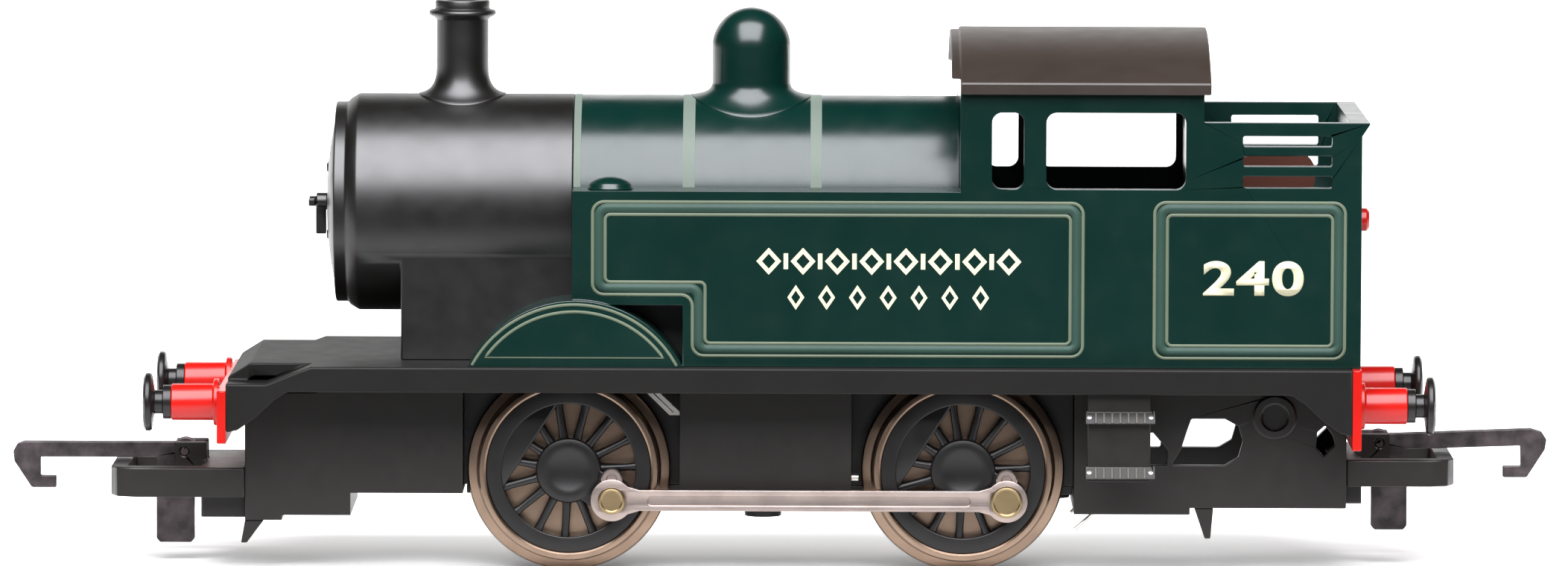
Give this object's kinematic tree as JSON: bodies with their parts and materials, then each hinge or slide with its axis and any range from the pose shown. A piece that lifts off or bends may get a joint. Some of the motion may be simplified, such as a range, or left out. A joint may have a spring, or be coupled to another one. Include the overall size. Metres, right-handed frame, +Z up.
{
  "type": "model steam locomotive",
  "caption": "Four-coupled side-tank model locomotive with electric worm drive, side rods, buffers and lifting coupling hooks.",
  "frame": {"origin": "on the surface the wheel flanges rest on, midway between the two coupling hook tips and on the centre line", "axes": "+Z up; the front (smokebox) end points along -X; -Y is the locomotive's left side"},
  "size_m": [0.1376, 0.032, 0.0503],
  "materials": {
    "green_shell": "satin printed green moulding",
    "black_moulding": "satin black moulding",
    "roof_moulding": "satin dark grey moulding",
    "chassis_moulding": "satin black moulding",
    "red_moulding": "gloss red",
    "buffer_black": "satin black",
    "hook_metal": "blackened steel",
    "wheel_plastic": "satin black moulding",
    "tyre_nickel": "turned, nickel plated, slightly warm",
    "rod_nickel": "nickel plated pressing",
    "axle_steel": "ground steel",
    "screw_steel": "zinc plated",
    "gear_nylon": "white nylon",
    "brass": "turned brass",
    "can_steel": "zinc plated steel",
    "cast_weight": "raw casting",
    "pickup_bronze": "bright sprung strip",
    "wire_red": "red insulation",
    "wire_black": "black insulation",
    "suppressor_ceramic": "brown dipped ceramic"
  },
  "bodies": {
    "chassis": {"body_screw": "screw_steel", "body_shell": "green_shell", "boiler": "green_shell", "bunker_lamp": "black_moulding", "cab_roof": "roof_moulding", "cab_step_left": "black_moulding", "cab_step_right": "black_moulding", "chassis_frame": "chassis_moulding", "chimney": "black_moulding", "dome": "green_shell", "door_dart": "black_moulding", "door_hinges": "black_moulding", "footplate": "black_moulding", "front_buffer_beam": "red_moulding", "front_buffer_heads": "buffer_black", "front_coupling_loop": "chassis_moulding", "front_guard_irons": "chassis_moulding", "front_hook_pin": "hook_metal", "front_weight": "cast_weight", "keeper_plate": "chassis_moulding", "keeper_screws": "screw_steel", "motor_can": "can_steel", "motor_end_cap": "chassis_moulding", "motor_terminals": "brass", "pickup_left": "pickup_bronze", "pickup_right": "pickup_bronze", "rear_buffer_beam": "red_moulding", "rear_buffer_heads": "buffer_black", "rear_coupling_loop": "chassis_moulding", "rear_guard_irons": "chassis_moulding", "rear_hook_pin": "hook_metal", "rear_weight": "cast_weight", "smokebox": "black_moulding", "smokebox_door": "black_moulding", "suppressor": "suppressor_ceramic", "tank_fillers": "green_shell", "wire_black": "wire_black", "wire_red": "wire_red", "worm_bearing": "brass"},
    "front_wheelset": {"front_wheel_left": "wheel_plastic", "front_wheel_right": "wheel_plastic", "front_tyre_left": "tyre_nickel", "front_tyre_right": "tyre_nickel", "front_crankpin_left": "rod_nickel", "front_crankpin_right": "rod_nickel", "front_axle": "axle_steel"},
    "rear_wheelset": {"rear_wheel_left": "wheel_plastic", "rear_wheel_right": "wheel_plastic", "rear_tyre_left": "tyre_nickel", "rear_tyre_right": "tyre_nickel", "rear_crankpin_left": "rod_nickel", "rear_crankpin_right": "rod_nickel", "rear_axle": "axle_steel", "axle_gear": "gear_nylon"},
    "left_rod": {"coupling_rod_left": "rod_nickel"},
    "right_rod": {"coupling_rod_right": "rod_nickel"},
    "worm_shaft": {"motor_shaft": "axle_steel", "worm": "brass"},
    "front_hook": {"front_coupling_hook": "hook_metal"},
    "rear_hook": {"rear_coupling_hook": "hook_metal"}
  },
  "joints": [
    {"name": "rear_axle_turn", "type": "hinge", "parent": "chassis", "child": "rear_wheelset", "pos_m": [0.0163, 0, 0.00905], "axis": [0, 1, 0], "continuous": true},
    {"name": "front_axle_turn", "type": "hinge", "parent": "chassis", "child": "front_wheelset", "pos_m": [-0.01875, 0, 0.00905], "axis": [0, 1, 0], "continuous": true},
    {"name": "left_rod_pin", "type": "hinge", "parent": "rear_wheelset", "child": "left_rod", "pos_m": [0.02016, 0, 0.00654], "axis": [0, 1, 0], "continuous": true},
    {"name": "right_rod_pin", "type": "hinge", "parent": "rear_wheelset", "child": "right_rod", "pos_m": [0.01379, 0, 0.00519], "axis": [0, 1, 0], "continuous": true},
    {"name": "worm_turn", "type": "hinge", "parent": "chassis", "child": "worm_shaft", "pos_m": [0.0163, 0, 0.01505], "axis": [1, 0, 0], "continuous": true},
    {"name": "front_hook_lift", "type": "hinge", "parent": "chassis", "child": "front_hook", "pos_m": [-0.0533, 0, 0.00985], "axis": [0, 1, 0], "range_deg": [0, 15]},
    {"name": "rear_hook_lift", "type": "hinge", "parent": "chassis", "child": "rear_hook", "pos_m": [0.0537, 0, 0.01095], "axis": [0, -1, 0], "range_deg": [0, 15]}
  ],
  "couplings": [
    {"joint": "front_axle_turn", "follows": "rear_axle_turn", "ratio": 1},
    {"joint": "left_rod_pin", "follows": "rear_axle_turn", "ratio": -1},
    {"joint": "right_rod_pin", "follows": "rear_axle_turn", "ratio": -1},
    {"joint": "worm_turn", "follows": "rear_axle_turn", "ratio": -20}
  ]
}
